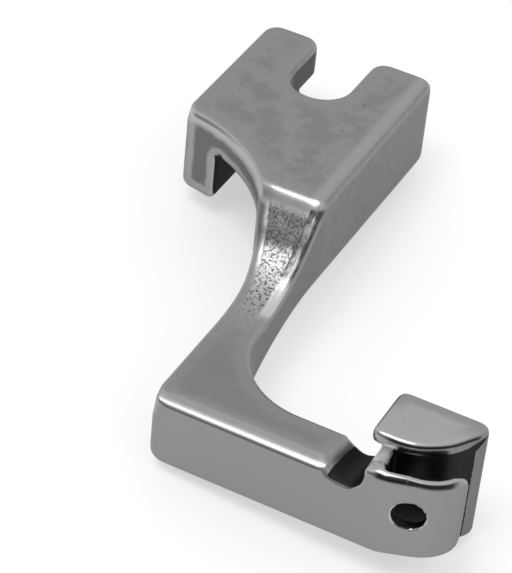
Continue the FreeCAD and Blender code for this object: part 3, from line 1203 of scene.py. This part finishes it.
    def burrs(self, shape: Link) -> Link:
        """Roughen the needle hole's rim and the closed end of the fabric slot.

        Args:
            shape: The mesh.

        Returns:
            The mesh.
        """
        lay, wear, zones = self.layout, self.wear, self.zones()
        values = {"Vector": self.place(), "W": self.given["Seed"],
                  "Scale": 1 / self.given["Burr size"], "Detail": 2.0}
        noise = self.add("ShaderNodeTexNoise", {"noise_dimensions": "4D"}, values, "Fac") - 0.5
        bumps = noise * self.given["Burr height"]
        out = zones.reach(zones.x, zones.z, lay.hole_centre)
        rim = abs(out - lay.hole_radius).step(*wear.hole_reach) * wear.hole.on(zones)
        push = bumps * wear.hole_share * rim
        along, across = (zones.x - lay.hole_centre[0]) / out, (zones.z - lay.hole_centre[1]) / out
        tear = bumps * wear.web_share * wear.web.on(zones)
        return self.moved(shape, x=push * along + tear, z=push * across)


@dataclass(frozen=True)
class SkinTree:
    """The node tree that softens the foot's edges; each number is one of its inputs."""

    layout: Layout
    wear: Wear = Wear()
    soften_steps: int = 3
    corner_steps: int = 38
    front_wear: float = 0.42
    crown_width: float = 3.2
    crown_drop: float = 0.75
    rim_width: float = 0.6
    rim_drop: float = 0.5
    rim_lift: float = 0.2
    cap_bulge: float = 0.42
    burr_height: float = 0.09
    burr_size: float = 0.45
    seed: float = 7.0
    rim_level: float = 0.012
    rim_blur: int = 6

    def inputs(self, material: bpy.types.Material) -> dict[str, tuple[str, Any]]:
        """The tree's named inputs.

        Args:
            material: The foot's finish.

        Returns:
            Socket type and value of each.
        """
        kinds = {int: "NodeSocketInt", float: "NodeSocketFloat"}
        sizes = {name.replace("_", " ").capitalize(): (kinds[type(value)], value)
                 for name, value in vars(self).items() if type(value) in kinds}
        return {**sizes, "Material": ("NodeSocketMaterial", material)}

    def build(self, material: bpy.types.Material) -> bpy.types.NodeTree:
        """Build the tree.

        Args:
            material: The foot's finish.

        Returns:
            The node tree.
        """
        tree = bpy.data.node_groups.new("foot_skin", "GeometryNodeTree")
        face = tree.interface
        face.new_socket("Geometry", in_out="INPUT", socket_type="NodeSocketGeometry")
        for name, (kind, _) in self.inputs(material).items():
            face.new_socket(name, in_out="INPUT", socket_type=kind)
        face.new_socket("Geometry", in_out="OUTPUT", socket_type="NodeSocketGeometry")
        skin = Skin(tree, self.layout, self.wear)
        shape = skin.softened(skin.given["Geometry"])
        for step in (skin.edges, skin.worn_front, skin.corners, skin.crowned, skin.toe_rim,
                     skin.cap_front, skin.burrs, skin.facings):
            shape = step(shape)
        shape = skin.add("GeometryNodeSetShadeSmooth", {},
                         {"Geometry": shape, "Shade Smooth": True})
        shape = skin.add("GeometryNodeRealizeInstances", {}, {"Geometry": shape})
        shape = skin.add("GeometryNodeSetMaterial", {},
                         {"Geometry": shape, "Material": skin.given["Material"]})
        skin.add("NodeGroupOutput", {}, {"Geometry": shape})
        return tree


@dataclass
class PresserFoot:
    """The one-piece foot: the solid's own mesh with its sharp edges softened."""

    node: str = "presser_foot"
    body: str = "root"
    slot: str = "polished_steel"
    voxel: float = 0.13
    weld: float = 0.0005
    lie: Lie = field(default_factory=Lie)
    layout: Layout = field(default_factory=Layout)
    finish: PolishedSteel = field(default_factory=PolishedSteel)

    def merged_copy(self, source: bpy.types.Object) -> bpy.types.Object:
        """Copy the solid's mesh in the foot's own millimetres, its loose triangles joined.

        Args:
            source: The solid's object.

        Returns:
            A new object.
        """
        mesh = source.data.copy()
        mesh.materials.clear()
        mesh.transform(self.lie.matrix().inverted() @ Matrix.Scale(1 / MILLIMETRE, 4))
        shape = bmesh.new()
        shape.from_mesh(mesh)
        bmesh.ops.remove_doubles(shape, verts=shape.verts, dist=self.weld)
        shape.to_mesh(mesh)
        shape.free()
        piece = bpy.data.objects.new("foot", mesh)
        bpy.context.collection.objects.link(piece)
        return piece

    def add_skin(self, piece: bpy.types.Object) -> None:
        """Give the copy even faces and the skin's tree.

        Args:
            piece: The copy, in the foot's own millimetres.
        """
        remesh = piece.modifiers.new("even_faces", "REMESH")
        remesh.mode = "VOXEL"
        remesh.voxel_size = self.voxel
        finish = self.finish.material(self.lie, self.layout)
        tree = SkinTree(self.layout)
        skin = piece.modifiers.new("skin", "NODES")
        skin.node_group = tree.build(finish)
        sockets = {item.name: item.identifier for item in skin.node_group.interface.items_tree
                   if item.in_out == "INPUT"}
        for name, (_, value) in tree.inputs(finish).items():
            skin[sockets[name]] = value

    def build(self, frame: dict[str, Any]) -> bpy.types.Object:
        """Make the foot's visible piece.


        Returns:
            The finished piece.
        """
        piece = self.merged_copy(frame["nodes"][self.node])
        self.add_skin(piece)
        shown = piece.evaluated_get(bpy.context.evaluated_depsgraph_get())
        mesh = bpy.data.meshes.new_from_object(shown)
        piece.modifiers.clear()
        mesh.transform(Matrix.Scale(MILLIMETRE, 4) @ self.lie.matrix())
        piece.data = mesh
        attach(piece, self.body)
        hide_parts(self.node)
        LOG.info("foot: %d faces", len(mesh.polygons))
        return piece


@dataclass(frozen=True)
class Softbox:
    """An oblong studio light."""

    name: str
    place: Place
    size: tuple[float, float]
    power: float

    def build(self) -> None:
        """Make the light, aimed at the middle of the table."""
        light = bpy.data.lights.new(self.name, "AREA")
        light.shape = "RECTANGLE"
        light.size, light.size_y = self.size
        light.energy = self.power
        lamp = bpy.data.objects.new(self.name, light)
        lamp.location = self.place
        lamp.rotation_euler = (-Vector(self.place)).to_track_quat("-Z", "Y").to_euler()
        bpy.context.collection.objects.link(lamp)
        LOG.info("light: %s", self.name)


@dataclass
class Studio:
    """The pale table, the room's light and the softboxes."""

    floor_half: float = 0.6
    floor_colour: Colour = (0.5, 0.5, 0.5, 1.0)
    floor_satin: float = 0.9
    white: Colour = (1.0, 1.0, 1.0, 1.0)
    floor_glow: float = 0.5
    room: float = 0.85
    shade: float = 0.6
    shade_side: Pair = (-0.15, -0.6)
    shade_height: Pair = (0.75, 0.45)
    softboxes: tuple[Softbox, ...] = (
        Softbox("overhead", (-0.12, -0.115, 0.465), (0.2, 0.22), 0.78),
    )

    def build(self) -> None:
        """Make the table and the lights."""
        half = self.floor_half
        mesh = bpy.data.meshes.new("floor")
        corners = [(-half, -half, 0), (half, -half, 0), (half, half, 0), (-half, half, 0)]
        mesh.from_pydata(corners, [], [(0, 1, 2, 3)])
        floor = bpy.data.objects.new("floor", mesh)
        bpy.context.collection.objects.link(floor)
        mesh.materials.append(self.floor_material())
        LOG.info("floor: %.1f m across", 2 * half)
        self.room_light()
        for softbox in self.softboxes:
            softbox.build()

    def room_light(self) -> None:
        """Make the room: evenly bright, but dark low down on the side the sole faces."""
        world = bpy.data.worlds.new("room")
        world.use_nodes = True
        bpy.context.scene.world = world
        nodes = Nodes(world.node_tree)
        way = nodes.add("ShaderNodeTexCoord", output="Generated")
        facing = way.part(Axis.Y).step(*self.shade_side) * way.part(Axis.Z).step(*self.shade_height)
        strength = self.room * (1 - self.shade * facing)
        values = {"Color": self.white, "Strength": strength}
        light = nodes.add("ShaderNodeBackground", {}, values)
        nodes.add("ShaderNodeOutputWorld", {}, {"Surface": light})

    def floor_material(self) -> bpy.types.Material:
        """Build the table's plain matt finish.

        Returns:
            The material.
        """
        material = bpy.data.materials.new("floor")
        material.use_nodes = True
        nodes = Nodes(material.node_tree)
        shader = nodes.add("ShaderNodeBsdfPrincipled", {}, {
            "Base Color": self.floor_colour, "Roughness": self.floor_satin,
            "Emission Color": self.white, "Emission Strength": self.floor_glow})
        nodes.add("ShaderNodeOutputMaterial", {}, {"Surface": shader})
        return material


@dataclass(frozen=True)
class Camera:
    """A long lens that looks down on the foot from the heel's side."""

    eye: Place = (0.041035, -0.116584, 0.131666)
    aim: Place = (-0.004733, -0.003567, 0.004)
    roll: float = 8.744
    field_of_view: float = 11.876
    nearest: float = 0.01

    def build(self) -> None:
        """Make the camera the scene's own."""
        lens = bpy.data.cameras.new("camera")
        lens.sensor_fit = "VERTICAL"
        lens.angle = math.radians(self.field_of_view)
        lens.clip_start = self.nearest
        camera = bpy.data.objects.new("camera", lens)
        ahead = (Vector(self.aim) - Vector(self.eye)).normalized()
        level = ahead.cross(Vector((0, 0, 1))).normalized()
        right = Matrix.Rotation(-math.radians(self.roll), 3, ahead) @ level
        above = right.cross(ahead)
        turn = Matrix((right, above, -ahead)).transposed().to_4x4()
        camera.matrix_world = Matrix.Translation(self.eye) @ turn
        bpy.context.collection.objects.link(camera)
        bpy.context.scene.camera = camera
        bpy.context.scene.view_settings.view_transform = "Standard"
        LOG.info("camera: %.1f degrees high", self.field_of_view)


def main() -> None:
    """Build the foot, the studio and the camera."""
    logging.basicConfig(level=logging.INFO, format="%(name)s: %(message)s")
    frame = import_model()
    PresserFoot().build(frame)
    Studio().build()
    Camera().build()


if __name__ == "__main__":
    main()
